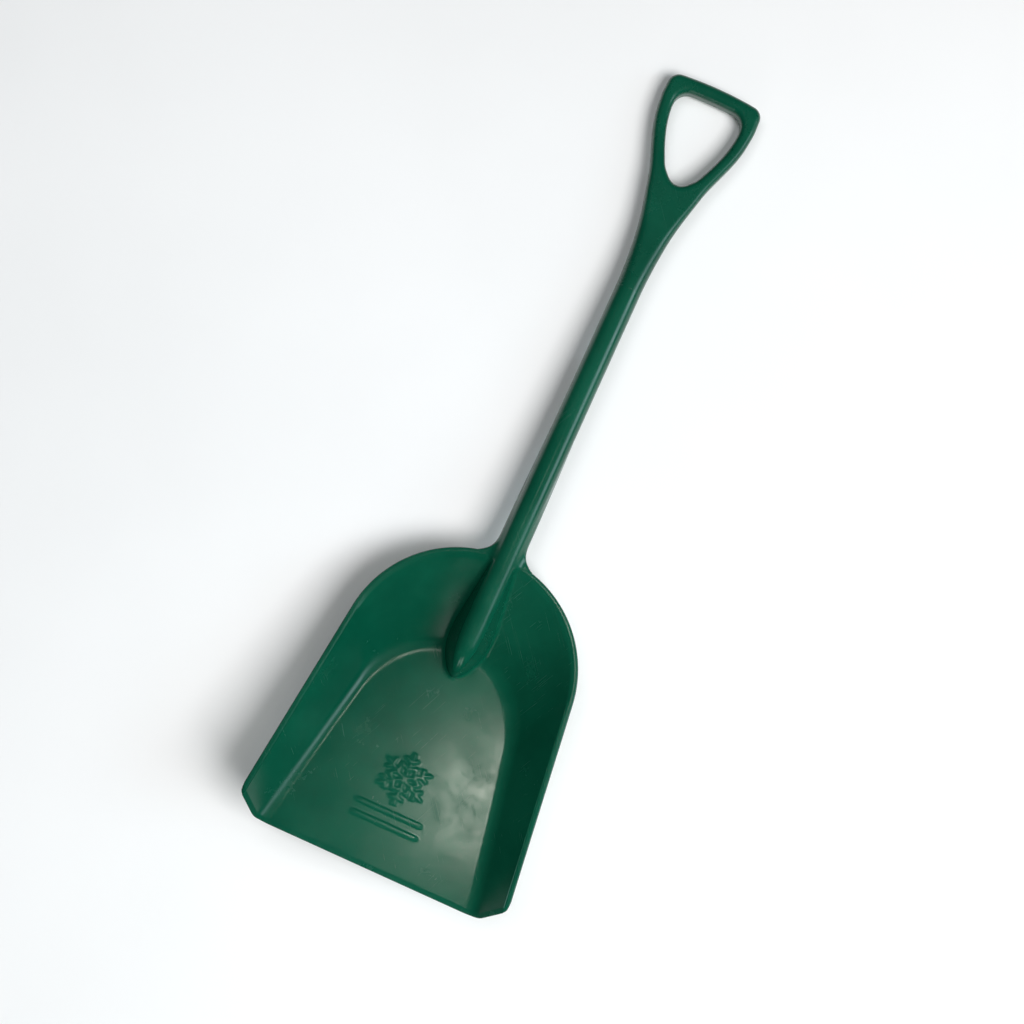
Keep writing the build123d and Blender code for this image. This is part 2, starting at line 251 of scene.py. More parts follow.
def pan_face(t, columns):
    """Points and normals on the pan's inner face: t has a row for each profile, a column for each point."""
    kind, part = columns[:, 0], columns[:, 1]
    fx, fy, _, _ = outline(t, FLOOR_ARC_Y, FLOOR_ARC_R, FLOOR_FLARE)
    rim = rim_point(t, 0.0, 0.0)
    dx, dy, rise = rim[..., 0] - fx, rim[..., 1] - fy, rim[..., 2]
    run = np.hypot(dx, dy)
    dx, dy, slope = dx / run, dy / run, np.arctan2(rise, run)
    radius = fillet_radius(t)
    tangent = radius * np.tan(slope / 2)
    spine_y = -FRONT_STOCK + (FLOOR_ARC_Y + FRONT_STOCK) * np.clip(t, 0, 1)
    turn = np.where(kind == 0, 0.0, np.where(kind == 1, part, 1.0)) * slope
    length = np.hypot(run, rise)
    climb = np.where(kind == 2, part, 0.0) * (length - tangent)
    out = -tangent + radius * np.sin(turn) + climb * np.cos(slope)
    x, y = fx + dx * out, fy + dy * out
    z = radius * (1 - np.cos(turn)) + climb * np.sin(slope)
    share = np.where(kind == 0, part, 1.0)
    x = np.where(kind == 0, (fx - dx * tangent) * share, x)
    y = np.where(kind == 0, spine_y + (fy - dy * tangent - spine_y) * share, y)
    points = np.stack([x, y, z], -1)
    normals = np.stack([-dx * np.sin(turn), -dy * np.sin(turn), np.cos(turn)], -1)
    return points, normals


def rim_point(t, across, up):
    """A point on the rim: across outwards from its inner edge in the rim's plane, up square to it."""
    x, y, nx, ny = outline(t, RIM_ARC_Y, RIM_ARC_R - RIM_WIDTH, RIM_FLARE)
    x, y = x + nx * across, y + ny * across
    a = radians(RIM_SLOPE)
    return np.stack([x, y * cos(a) - up * sin(a), RIM_FRONT_Z + y * sin(a) + up * cos(a)], -1)


def front_line(x, inset):
    """How far back the lip lies at x: straight, clipped at the corner and rounded at both of its ends."""
    clip = atan2(CLIP_RISE, 1)
    trim = CORNER_ROUND * tan(clip / 2)
    arc = np.linspace(0, clip, 12)
    corner_x = CORNER_X - inset * tan(clip / 2)
    xs = np.concatenate([[0], corner_x - trim + CORNER_ROUND * np.sin(arc)])
    ys = np.concatenate([[0], CORNER_ROUND * (1 - np.cos(arc))])
    start_y = ys[-1] + (OUTER_CORNER_X - xs[-1]) * CLIP_RISE
    end = 0 if inset else radians(88) - clip
    sweep = np.linspace(0, end, 14)
    xs = np.concatenate([xs, OUTER_CORNER_X + OUTER_CORNER_R * (np.sin(clip + sweep) - sin(clip))])
    ys = np.concatenate([ys, start_y + OUTER_CORNER_R * (cos(clip) - np.cos(clip + sweep))])
    xs = np.append(xs, xs[-1] + (20.0 if inset else 0.5))
    ys = np.append(ys, ys[-1] + (20.0 * CLIP_RISE if inset else 40.0))
    order = np.argsort(xs, kind="stable")
    return np.interp(x, xs[order], ys[order]) + inset


def front_share(inset, place):
    """The t at which each column's point, as given by place, lies on the lip's line moved back by inset."""
    sample = place(np.zeros(1))
    low = np.zeros(sample.shape[-2])
    high = np.full(sample.shape[-2], 0.6)
    for _ in range(40):
        middle = (low + high) / 2
        point = place(middle)
        behind = point[..., 1] > front_line(np.abs(point[..., 0]), inset)
        low, high = np.where(behind, low, middle), np.where(behind, middle, high)
    return (low + high) / 2


def pan_rows():
    """How the profiles are spread: shares of the straight side from the lip, then t round the rear."""
    side = np.linspace(0, 1, 150)[1:]
    rear = 1 + np.linspace(0, 1, 64)[1:]
    return side, rear


def mark_height(x, y):
    """The raised mark's height over the floor."""
    px, py = x - MARK_X, y - MARK_Y
    gap = np.full(np.shape(x), 1e3)
    for arm in range(6):
        a = radians(30 + 60 * arm)
        u, w = px * cos(a) + py * sin(a), -px * sin(a) + py * cos(a)
        gap = np.minimum(gap, np.hypot(u - np.clip(u, 0, MARK_ARM), w))
        for at, length in BARBS:
            b = radians(60)
            along = np.clip((u - at) * cos(b) + np.abs(w) * sin(b), 0, length)
            gap = np.minimum(gap, np.hypot(u - at - along * cos(b), np.abs(w) - along * sin(b)))
    reach = (BARS_LENGTH - BAR_WIDE) / 2
    for bar_y in BARS_Y:
        bar = np.hypot(px - np.clip(px, -reach, reach), y - bar_y) - (BAR_WIDE - MARK_LINE) / 2
        gap = np.minimum(gap, bar)
    edge = np.clip((MARK_LINE / 2 + 0.7 - gap) / 1.4, 0, 1)
    return MARK_RISE * edge * edge * (3 - 2 * edge)


def pan_half():
    """The right half of the pan: its inner face, bead and outer face, by row and column."""
    columns = profile_columns()
    count = len(columns)

    def on_face(t):
        return pan_face(np.broadcast_to(t, (1, count)), columns)[0][0]

    def on_bead(t):
        spread = np.broadcast_to(t, (len(BEAD_PROFILE),))
        return np.stack([rim_point(spread[k], *BEAD_PROFILE[k]) for k in range(len(BEAD_PROFILE))])

    edge_t, bead_edge_t = front_share(0.0, on_face), front_share(0.0, on_bead)
    bevel_t = np.maximum(front_share(LIP_BEVEL, on_face), edge_t + LEAST_BEVEL)
    bead_bevel_t = np.maximum(front_share(LIP_BEVEL, on_bead), bead_edge_t + LEAST_BEVEL)
    side, rear = pan_rows()
    face_t = np.vstack([edge_t, bevel_t] + [bevel_t + (1 - bevel_t) * s for s in side]
                       + [np.full(count, r) for r in rear])
    bead_t = np.vstack([bead_edge_t, bead_bevel_t] + [bead_bevel_t + (1 - bead_bevel_t) * s for s in side]
                       + [np.full(len(BEAD_PROFILE), r) for r in rear])
    inner, normals = pan_face(face_t, columns)
    bead = np.stack([rim_point(bead_t[:, k], *BEAD_PROFILE[k]) for k in range(len(BEAD_PROFILE))], 1)
    under = np.array([0.0, sin(radians(RIM_SLOPE)), -cos(radians(RIM_SLOPE))])
    outer = inner - normals * PAN_WALL
    stop = count - 3
    outer = outer[:, :stop]
    inner[0] -= normals[0] * LIP_DROP
    bead[0, :6] += under * LIP_DROP
    return inner, bead, outer[:, ::-1], stop


def make_pan():
    """The whole pan, in one closed mesh."""
    inner, bead, outer, stop = pan_half()
    grid = np.concatenate([inner, bead, outer], 1)
    rows, width = grid.shape[:2]
    number = np.arange(rows * width).reshape(rows, width)
    quads = np.stack([number[:-1, :-1], number[:-1, 1:], number[1:, 1:], number[1:, :-1]], -1).reshape(-1, 4)
    caps = [[number[0, k], number[0, width - 1 - k], number[0, width - 2 - k], number[0, k + 1]]
            for k in range(stop - 1)]
    caps.append([number[0, k] for k in range(stop - 1, width - stop + 1)])
    half = grid.reshape(-1, 3)
    shift = len(half)
    mirrored = half * np.array([-1.0, 1.0, 1.0])
    points = np.concatenate([half, mirrored])
    flat = points[:, 2] > -0.5
    points[flat, 2] += np.where(points[flat, 2] < 0.01, mark_height(points[flat, 0], points[flat, 1]), 0.0)
    faces = quads.tolist() + [[int(i) for i in cap] for cap in caps]
    faces += [[i + shift for i in reversed(face)] for face in faces]
    return points, faces


# ---- distance formulas ---------------------------------------------------------------------------
def round_union(a, b, radius):
    """The union of two shapes with a fillet where they meet."""
    u, v = np.maximum(radius - a, 0), np.maximum(radius - b, 0)
    return np.maximum(radius, np.minimum(a, b)) - np.hypot(u, v)


def round_cut(a, b, radius):
    """What two shapes share, with its edge rounded."""
    u, v = np.maximum(radius + a, 0), np.maximum(radius + b, 0)
    return np.minimum(-radius, np.maximum(a, b)) + np.hypot(u, v)


def rod(p, radius, start):
    """A round rod along Y from start, with a rounded end."""
    return round_cut(np.hypot(p[:, 0], p[:, 2]) - radius, start - p[:, 1], 3.0)


def floor_depth(station):
    """How far the pan's flat floor lies under the shaft's axis, square to it."""
    rise = radians(SHAFT_RISE)
    return (COLLAR_Z + station * sin(rise)) / cos(rise)


def hood(p, grow, end):
    """The hood, in the shaft frame: a round top on drafted flanks, which narrow and drop to the nose."""
    draft = radians(HOOD_DRAFT)
    full_r = SHAFT_R + grow
    tip = NOSE_TIP - 1.6 * grow
    share = np.clip((p[:, 1] - tip) / NOSE_LENGTH, 0.004, 1)
    depth = floor_depth(p[:, 1])
    full = full_r / cos(draft) + depth * tan(draft)
    base = full * (1 - (1 - share) ** NOSE_POWER) ** (1 / NOSE_POWER)
    lift = (1 - np.maximum(0, 1 - share / CREST_SHARE) ** CREST_POWER) ** (1 / CREST_POWER)
    crest = (depth + full_r) * lift - depth
    top = full_r * np.minimum(1, base / full) * lift
    centre = crest - top
    fall = centre + depth
    turn = np.arctan2(-fall, base) + np.arccos(np.clip(top / np.hypot(fall, base), -1, 1))
    x, z = np.abs(p[:, 0]), p[:, 2] - centre
    flank = x * np.cos(turn) + z * np.sin(turn) - top
    dome = np.hypot(x, z) - top
    gap = np.where(np.arctan2(z, x) > turn, dome, flank)
    gap = np.maximum(gap, p[:, 1] - end)
    return np.where(p[:, 1] < tip, np.hypot(np.maximum(gap, 0), tip - p[:, 1]), gap)


def steepness(shape, p):
    """A formula's value divided by its slope, which is close to a true distance."""
    value = shape(p)
    step = 0.05
    slope = sum((shape(p + step * axis) - value) ** 2 for axis in np.eye(3)) ** 0.5 / step
    return value / np.maximum(slope, 0.3)


class PanDistance:
    """The distance to the finished pan, in the shaft frame."""

    def __init__(self, points, faces):
        self.tree = BVHTree.FromPolygons(moved(points, PAN_TO_SHAFT).tolist(), faces)

    def __call__(self, p):
        gaps = np.empty(len(p))
        for i, point in enumerate(p.tolist()):
            near, normal, _, gap = self.tree.find_nearest(point)
            away = Vector(point) - near
            gaps[i] = gap if away.dot(normal) > 0 else -gap
        return gaps


def web(p):
    """The webs that carry the rim round into the shaft's sides."""
    q = moved(p, PAN_TO_SHAFT.inverted())
    a = radians(RIM_SLOPE)
    along = q[:, 1] * cos(a) + (q[:, 2] - RIM_FRONT_Z) * sin(a)
    up = -q[:, 1] * sin(a) + (q[:, 2] - RIM_FRONT_Z) * cos(a)
    rim_gap = np.hypot(q[:, 0], along - RIM_ARC_Y) - (RIM_ARC_R - 0.5)
    # known fault: between the shaft's sides this slab has no rear end, so a ragged fin hangs under the shaft
    plan = round_union(rim_gap, np.abs(q[:, 0]) - SHAFT_R, WEB_ARC_R)
    plan = np.maximum(plan, RIM_ARC_R - 5.5 - np.hypot(q[:, 0], along - RIM_ARC_Y))
    plan = np.maximum(plan, RIM_ARC_Y + 100 - along)
    middle = -RIM_DEPTH / 2 - 0.02
    return round_cut(plan, np.abs(up - middle) - RIM_DEPTH / 2, 2.6)


def over_pan(p):
    """Roughly how high a point lies over the pan's inner face, along the middle of the pan."""
    q = moved(p, PAN_TO_SHAFT.inverted())
    foot_y = FLOOR_ARC_Y + FLOOR_ARC_R
    top = rim_point(np.full(1, 2.0), 0.0, 0.0)[0]
    slope = atan2(top[2], top[1] - foot_y)
    bow = q[:, 0] ** 2 / (2 * FLOOR_ARC_R + 36)
    wall = q[:, 2] * cos(slope) - (q[:, 1] + bow - foot_y) * sin(slope)
    return round_union(q[:, 2], wall, 4.2)


def hollow(p, grow):
    """The hood's hollow and the mouth of the shaft's bore."""
    bore = np.maximum(rod(p, BORE_R + grow, TUBE_START - 8), p[:, 1] - BORE_SEEN)
    return np.minimum(steepness(lambda q: hood(q, grow - HOOD_WALL, TUBE_START), p), bore)


def shaft_shape(pan_gap):
    """The shaft, its hood and webs, filleted into the pan and hollow from behind, as one formula."""
    def shape(p):
        ridge = steepness(lambda q: hood(q, 0.0, 2.0), p)
        tube = rod(p, SHAFT_R, TUBE_START)
        body = np.minimum(np.maximum(ridge, -FOOT_SINK * PAN_WALL - over_pan(p)), tube)
        reach, webs = np.minimum(ridge, tube), web(p)
        near = (reach < FOOT_FILLET + 4) & (p[:, 1] < 70)
        plate = np.full(len(p), 50.0)
        plate[near] = pan_gap(p[near]) + PAN_SKIN
        total = np.minimum(round_union(body, plate, FOOT_FILLET), round_union(body, webs, WEB_FILLET))
        limit = np.minimum(reach - FOOT_FILLET - 1.0, np.maximum(webs - 0.3, reach - 34))
        limit = np.where(webs < WEB_FILLET, np.minimum(limit, reach - WEB_FILLET - 1.0), limit)
        return round_cut(np.maximum(total, limit), -hollow(p, 0.0), 1.2)

    return shape


def shaft_region(p):
    """Zero near the shaft's skin, and large elsewhere."""
    reach = np.minimum(hood(p, 0.0, 2.0), rod(p, SHAFT_R, TUBE_START))
    nose = (p[:, 1] < NOSE_TIP + NOSE_LENGTH) & (reach < 26)
    near = (reach < FOOT_FILLET + 4) | nose | ((np.abs(p[:, 1]) < 70) & (web(p) < 3))
    return np.where(near, 0.0, 99.0)


# ---- turning a formula into a mesh ---------------------------------------------------------------
def lattice(low, high, step):
    """The three axes of a block of evenly spaced points."""
    return [np.arange(a, b + step, step) for a, b in zip(low, high)]


def surface(shape, low, high, step, coarse):
    """A closed quad mesh of a formula's zero surface. coarse is a cheap formula that says where to look."""
    axes = lattice(low, high, step)
    size = tuple(len(axis) for axis in axes)
    points = np.stack(np.meshgrid(*axes, indexing="ij"), -1).reshape(-1, 3)
    values = coarse(points)
    near = np.abs(values) < 3.5 * step
    values[near] = shape(points[near])
    values = values.reshape(size)
    for axis in range(3):
        for end in (0, -1):
            border = [slice(None)] * 3
            border[axis] = end
            values[tuple(border)] = np.maximum(values[tuple(border)], 0.3 * step)
    inside = values < 0
    crossing_sum = np.zeros(tuple(n - 1 for n in size) + (3,))
    crossing_count = np.zeros(tuple(n - 1 for n in size))
    faces_at = []
    for axis in range(3):
        a, b = [slice(None)] * 3, [slice(None)] * 3
        a[axis], b[axis] = slice(None, -1), slice(1, None)
        crossed = inside[tuple(a)] != inside[tuple(b)]
        where = np.argwhere(crossed)
        va, vb = values[tuple(a)][crossed], values[tuple(b)][crossed]
        at = where.astype(float)
        at[:, axis] += va / (va - vb)
        others = [k for k in range(3) if k != axis]
        corners = []
        for du, dv in ((0, 0), (1, 0), (1, 1), (0, 1)):
            cell = where.copy()
            cell[:, others[0]] -= du
            cell[:, others[1]] -= dv
            np.add.at(crossing_sum, tuple(cell.T), at)
            np.add.at(crossing_count, tuple(cell.T), 1)
            corners.append(cell)
        faces_at.append(np.stack(corners, 1))
    used = crossing_count > 0
    number = np.full(used.shape, -1)
    number[used] = np.arange(used.sum())
    vertices = crossing_sum[used] / crossing_count[used][:, None] * step + np.array(low)
    faces = np.concatenate([number[tuple(np.moveaxis(f, -1, 0))] for f in faces_at])
    return settle(shape, vertices, 4), faces.tolist()


def settle(shape, points, rounds):
    """Moves points onto a formula's zero surface, along its slope."""
    step = 0.03
    for _ in range(rounds):
        value = shape(points)
        slope = np.stack([(shape(points + step * axis) - value) / step for axis in np.eye(3)], -1)
        steep = np.maximum((slope ** 2).sum(-1), 0.25)
        move = slope * (value / steep)[:, None]
        length = np.linalg.norm(move, axis=1)
        points = points - move * np.minimum(1, 0.6 / np.maximum(length, 1e-9))[:, None]
    return points


# ---- grip ----------------------------------------------------------------------------------------
def smooth_line(points, count, start=None, end=None):
    """A smooth curve through points, worked out as cubic stretches."""
    points = np.array(points, float)
    lean = np.gradient(points, axis=0)
    lean[0] = points[1] - points[0] if start is None else start
    lean[-1] = points[-1] - points[-2] if end is None else end
    s = np.linspace(0, 1, count, endpoint=False)[:, None]
    pieces = []
    for k in range(len(points) - 1):
        a, b, da, db = points[k], points[k + 1], lean[k], lean[k + 1]
        pieces.append((2 * s ** 3 - 3 * s ** 2 + 1) * a + (s ** 3 - 2 * s ** 2 + s) * da
                      + (3 * s ** 2 - 2 * s ** 3) * b + (s ** 3 - s ** 2) * db)
    return np.concatenate(pieces + [points[-1:]])


def shoulder_line(shoulder, top, radius, count=24):
    """The rounded shoulder from the side of the grip or its hole to the middle of its bowed top."""
    drop = top - shoulder[1]
    bow = (shoulder[0] ** 2 + drop ** 2) / (2 * drop)
    mid_y = top - bow
    x = shoulder[0] - radius
    y = mid_y + ((bow - radius) ** 2 - x ** 2) ** 0.5
    end = atan2(y - mid_y, x)
    corner = np.linspace(0, end, count)
    arc = np.stack([x + radius * np.cos(corner), y + radius * np.sin(corner)], -1)
    over = np.linspace(end, pi / 2, count)[1:]
    crown = np.stack([bow * np.cos(over), mid_y + bow * np.sin(over)], -1)
    return np.concatenate([arc, crown])


def line_gap(points, line):
    """The signed distance from points to a line up the right side; inside, on its left, is negative."""
    best = np.full(len(points), 1e9)
    sign = np.ones(len(points))
    for a, b in zip(line[:-1], line[1:]):
        d = b - a
        u = np.clip(((points - a) @ d) / (d @ d), 0, 1)
        away = points - a - u[:, None] * d
        gap = (away ** 2).sum(-1)
        closer = gap < best
        best = np.where(closer, gap, best)
        cross = d[0] * away[:, 1] - d[1] * away[:, 0]
        sign = np.where(closer, np.where(cross > 0, -1.0, 1.0), sign)
    return np.sqrt(best) * sign


def grip_lines():
    """The right-hand outlines of the grip and of its hand hole."""
    side = smooth_line([(half, y) for y, half, _, _ in GRIP_SECTIONS], 10, start=(0.0, 28.0), end=(0.0, 20.0))
    outer = np.concatenate([side, shoulder_line(GRIP_SHOULDER, GRIP_LENGTH, GRIP_CORNER_R)])
    hole = smooth_line(HOLE_SIDE, 12, start=(26.0, 0.0), end=(0.0, 20.0))
    inner = np.concatenate([hole, shoulder_line(HOLE_SHOULDER, HOLE_TOP, HOLE_CORNER_R)])
    below = np.array([[SHAFT_R, -30.0]])
    return np.concatenate([below, outer]), inner


def grip_shape():
    """The grip and neck, in the grip frame, as one formula."""
    outer, inner = grip_lines()
    stations = [row[0] for row in GRIP_SECTIONS]
    halves = [row[2] / 2 for row in GRIP_SECTIONS]
    rounds = [row[3] for row in GRIP_SECTIONS]
    depth_line = smooth_line(list(zip(stations, halves)), 6, start=(28.0, 0.0))
    round_line = smooth_line(list(zip(stations, rounds)), 6, start=(28.0, 0.0))

    def shape(p):
        plan = np.stack([np.abs(p[:, 0]), p[:, 1]], -1)
        ring = np.maximum(line_gap(plan, outer), -line_gap(plan, inner))
        half = np.interp(p[:, 1], depth_line[:, 0], depth_line[:, 1])
        corner = np.interp(p[:, 1], round_line[:, 0], round_line[:, 1])
        return round_cut(ring, np.abs(p[:, 2]) - half, corner)

    return shape


def trim_end(piece, matrix, station, keep):
    """Cuts a piece square at a station along its frame's Y axis and closes it; keep, 1 or -1, is the side."""
    at = matrix @ Vector((0, station, 0))
    along = (matrix.to_3x3() @ Vector((0, 1, 0))).normalized() * keep
    bm = bmesh.new()
    bm.from_mesh(piece.data)
    geometry = bm.verts[:] + bm.edges[:] + bm.faces[:]
    bmesh.ops.bisect_plane(bm, geom=geometry, dist=1e-7, plane_co=at, plane_no=along, clear_inner=True)
    rim = [e for e in bm.edges if e.is_boundary]
    bmesh.ops.holes_fill(bm, edges=rim, sides=0)
    bm.to_mesh(piece.data)
    bm.free()
    piece.data.set_sharp_from_angle(angle=radians(40))
    return piece


# ---- pieces --------------------------------------------------------------------------------------
def halving(inside, low, high):
    """Where each value between low and high stops being inside, found by halving."""
    for _ in range(30):
        middle = (low + high) / 2
        within = inside(middle)
        low, high = np.where(within, middle, low), np.where(within, high, middle)
    return low


def opening_cutter():
    """The space under the hood, as rings round points just over the pan, reaching into the shaft's wall."""
    def shape(p):
        return np.maximum(steepness(lambda q: hood(q, CUT_GROWTH - HOOD_WALL, TUBE_START + 1), p),
                          -CUTTER_FLOOR - over_pan(p))

    def place(station, x, z):
        return np.stack([x, station, z], -1).reshape(-1, 3)

    stations = np.linspace(NOSE_TIP + 5.5, TUBE_START + 0.5, CUTTER_RINGS)
    nil = np.zeros_like(stations)
    core = halving(lambda z: over_pan(place(stations, nil, z)) < CUTTER_LEAST, nil - 90.0, nil + 20.0)
    turn = np.linspace(0, 2 * pi, CUTTER_SIDES, endpoint=False)
    station, centre = (np.repeat(row[:, None], len(turn), 1) for row in (stations, core))
    out, up = np.cos(turn), np.sin(turn)

    def inside(r):
        return (shape(place(station, r * out, centre + r * up)) < 0).reshape(r.shape)

    r = halving(inside, np.zeros_like(station), np.full_like(station, 90.0))
    points = place(station, r * out, centre + r * up)
    number = np.arange(len(points)).reshape(station.shape)
    nxt = np.roll(number, -1, 1)
    quads = np.stack([number[:-1], nxt[:-1], nxt[1:], number[1:]], -1).reshape(-1, 4).tolist()
    return new_object("pan_cutter", points, quads + [number[0].tolist(), number[-1].tolist()], SHAFT)


def pan_piece(points, faces):
    """The scoop's pan, open under the hood."""
    pan = new_object("pan_shell", points, faces, PAN, sharp=50)
    cutter = opening_cutter()
    cut = pan.modifiers.new("recess", "BOOLEAN")
    cut.operation, cut.object, cut.solver = "DIFFERENCE", cutter, "EXACT"
    apply_modifiers(pan)
    bpy.data.objects.remove(cutter)
    return pan


def apply_modifiers(piece):
    """Makes a piece's modifiers part of its mesh."""
    bpy.context.view_layer.update()
    seen = piece.evaluated_get(bpy.context.evaluated_depsgraph_get())
    mesh = bpy.data.meshes.new_from_object(seen)
    piece.modifiers.clear()
    piece.data = mesh


def shaft_piece(pan_points, pan_faces):
    """The shaft with its hooded nose and webs."""
    shape = shaft_shape(PanDistance(pan_points, pan_faces))
    points, faces = surface(shape, (-62.0, -168.0, -74.0), (62.0, 380.0, 22.0), FINE, shaft_region)
    shaft = new_object("shaft_shell", points, faces, SHAFT)
    return trim_end(shaft, SHAFT, SHAFT_LENGTH, -1)


def grip_piece():
    """The D-grip and its neck."""
    low, high = (-67.0, -6.0, -19.0), (67.0, 284.0, 19.0)
    shape = grip_shape()
    points, faces = surface(lambda p: shape(p) + GRIP_SKIN, low, high, FINE, lambda p: np.zeros(len(p)))
    grip = new_object("grip_shell", points, faces, GRIP)
    cut_seat(grip)
    return trim_end(grip, GRIP, 0.0, 1)


def lathe(name, profile, matrix, count=64):
    """A closed turned shape from (radius, height) points, about the Z axis of a frame."""
    points, faces = [], []
    for radius, height in profile:
        turn = np.linspace(0, 2 * pi, count, endpoint=False)
        points.append(np.stack([radius * np.cos(turn), radius * np.sin(turn), np.full(count, height)], -1))
    for ring in range(len(profile) - 1):
        for k in range(count):
            a, b = ring * count + k, ring * count + (k + 1) % count
            faces.append([a, b, b + count, a + count])
    faces.append(list(range(count)))
    faces.append(list(range((len(profile) - 1) * count, len(profile) * count)))
    return new_object(name, np.concatenate(points), faces, matrix, sharp=35)


def plug_frame():
    """A frame on the back of the neck, where the plug is, with Z inwards."""
    half = np.interp(PLUG_Y, [row[0] for row in GRIP_SECTIONS], [row[2] / 2 for row in GRIP_SECTIONS])
    return GRIP @ Matrix.Translation((0, PLUG_Y, -half))


def cut_seat(grip):
    """The shallow round seat that the plug's head sits in."""
    seat = lathe("seat_cutter", ((6.6, -3.0), (6.6, -0.2), (6.05, 0.35), (5.9, 2.2)), plug_frame())
    cut = grip.modifiers.new("seat", "BOOLEAN")
    cut.operation, cut.object, cut.solver = "DIFFERENCE", seat, "EXACT"
    apply_modifiers(grip)
    bpy.data.objects.remove(seat)


def plug_piece():
    """The small blind plug: a round head with a rounded edge and a dimple, on its stem."""
    profile = ((0.05, 0.75), (0.7, 0.7), (1.3, 0.4), (1.8, 0.12), (2.3, 0.03), (3.6, 0.03), (4.7, 0.12),
               (5.1, 0.3), (5.35, 0.6), (5.45, 1.0), (5.45, 1.6), (3.0, 1.6), (3.0, 7.6), (2.6, 8.0))
    return lathe("plug_button", profile, plug_frame())


# ---- wear and painted shade in creases -----------------------------------------------------------
def mark_edges(piece):
    """Stores how sharply each point's surroundings bend outwards or inwards, for edge wear and for painted
    shade in creases.
    """
    mesh = piece.data
    count = len(mesh.vertices)
    place, normal = np.empty(count * 3), np.empty(count * 3)
    mesh.vertices.foreach_get("co", place)
    mesh.vertices.foreach_get("normal", normal)
    place, normal = place.reshape(-1, 3) / MM, normal.reshape(-1, 3)
    pairs = np.empty(len(mesh.edges) * 2, int)
    mesh.edges.foreach_get("vertices", pairs)
    a, b = pairs.reshape(-1, 2).T
    away = place[b] - place[a]
    span = np.maximum((away ** 2).sum(-1), 0.01)
    bend, share = np.zeros(count), np.zeros(count)
    np.add.at(bend, a, -(away * normal[a]).sum(-1) / span)
    np.add.at(bend, b, (away * normal[b]).sum(-1) / span)
    np.add.at(share, a, 1)
    np.add.at(share, b, 1)
    bend /= np.maximum(share, 1)
    for _ in range(3):
        total = bend * 2
        np.add.at(total, a, bend[b])
        np.add.at(total, b, bend[a])
        bend = total / (share + 2)
    for name, value in (("ridge", bend), ("valley", -bend)):
        layer = mesh.attributes.new(name, "FLOAT", "POINT")
        layer.data.foreach_set("value", np.clip(value * 6, 0, 1))


# ---- materials -----------------------------------------------------------------------------------
class Nodes:
    """A small helper for building one material's nodes."""

    def __init__(self, name):
        self.material = bpy.data.materials.new(name)
        self.material.use_nodes = True
        self.tree = self.material.node_tree
        self.shader = self.tree.nodes["Principled BSDF"]

    def put(self, kind, inputs=(), **settings):
        """Adds a node. Each input is (socket, value), where value may be another node's output."""
        node = self.tree.nodes.new(kind)
        for key, value in settings.items():
            setattr(node, key, value)
        for socket, value in inputs:
            self.link(value, node.inputs[socket])
        return node

    def link(self, value, socket):
        """Sets a socket, or joins it to another node's output."""
        if isinstance(value, bpy.types.NodeSocket):
            self.tree.links.new(value, socket)
        else:
            socket.default_value = value

    def place(self, scale=(1, 1, 1), turn=(0, 0, 0)):
        """The object's own coordinates, stretched and turned."""
        at = self.put("ShaderNodeTexCoord").outputs["Object"]
        inputs = (("Vector", at), ("Scale", scale), ("Rotation", turn))
        return self.put("ShaderNodeMapping", inputs).outputs[0]

    def noise(self, scale, detail=3.0, rough=0.55, at=None):
        """A noise texture's value."""
        where = self.place() if at is None else at
        inputs = (("Vector", where), ("Scale", scale), ("Detail", detail), ("Roughness", rough))
        return self.put("ShaderNodeTexNoise", inputs).outputs[0]

    def between(self, value, low, high, bottom=0.0, top=1.0):
        """A value taken from one range to another, and kept in it."""
        inputs = (("Value", value), ("From Min", low), ("From Max", high),
                  ("To Min", bottom), ("To Max", top))
        return self.put("ShaderNodeMapRange", inputs, interpolation_type="SMOOTHSTEP").outputs[0]

    def sums(self, operation, a, b):
        """A sum of two values."""
        return self.put("ShaderNodeMath", ((0, a), (1, b)), operation=operation).outputs[0]

    def blend(self, share, a, b):
        """A mix of two colours."""
        mix = self.put("ShaderNodeMix", data_type="RGBA")
        for socket, value in zip((mix.inputs[0], mix.inputs[6], mix.inputs[7]), (share, a, b)):
            self.link(value, socket)
        return mix.outputs[2]

    def attribute(self, name):
        """One of the mesh's own values."""
        return self.put("ShaderNodeAttribute", attribute_name=name).outputs["Fac"]


def scratches(nodes, turn, width, seed):
    """Fine straight scratches that run at an angle, broken up into short groups."""
    turned = nodes.put("ShaderNodeVectorRotate", (("Vector", nodes.place()), ("Angle", radians(turn))),
                       rotation_type="Z_AXIS").outputs[0]
    at = nodes.put("ShaderNodeMapping", (("Vector", turned), ("Scale", (900, 7, 60)))).outputs[0]
    lines = nodes.put("ShaderNodeTexNoise", (("Vector", at), ("Scale", 1.0), ("Detail", 1.0), ("W", seed)),
                      noise_dimensions="4D").outputs[0]
    fine = nodes.between(lines, 0.66 - width, 0.72)
    groups = nodes.between(nodes.noise(9.0 + seed, 1.0), 0.46, 0.62)
    return nodes.sums("MULTIPLY", fine, groups)


